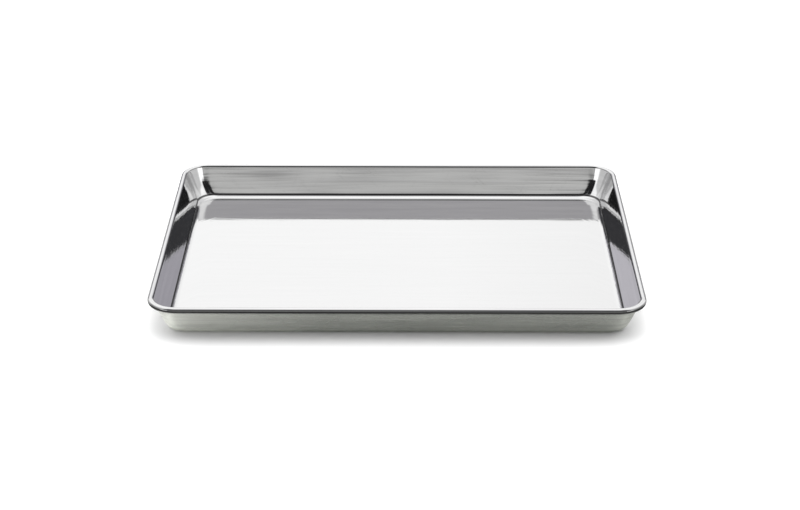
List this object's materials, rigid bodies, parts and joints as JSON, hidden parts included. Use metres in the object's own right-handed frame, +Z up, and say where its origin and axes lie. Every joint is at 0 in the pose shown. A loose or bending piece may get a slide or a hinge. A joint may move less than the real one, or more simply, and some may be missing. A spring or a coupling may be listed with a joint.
{
  "type": "pill counting tray",
  "caption": "Shallow rectangular stainless-steel tray with a flat mirror floor, leaning walls, rounded corners and a rolled rim stiffened by a wire, for spreading and counting tablets.",
  "frame": {"origin": "middle of the flat underside, on the surface that the tray stands on", "axes": "+X along the length of the tray, +Y from front to back, +Z up through the open top"},
  "size_m": [0.33, 0.241, 0.024],
  "materials": {
    "pan_steel": "bright polished stainless sheet, brushed along the outside of the walls",
    "wire_steel": "plain drawn steel wire"
  },
  "bodies": {
    "root": {"tray_pan": "pan_steel", "rim_wire": "wire_steel"}
  },
  "joints": []
}
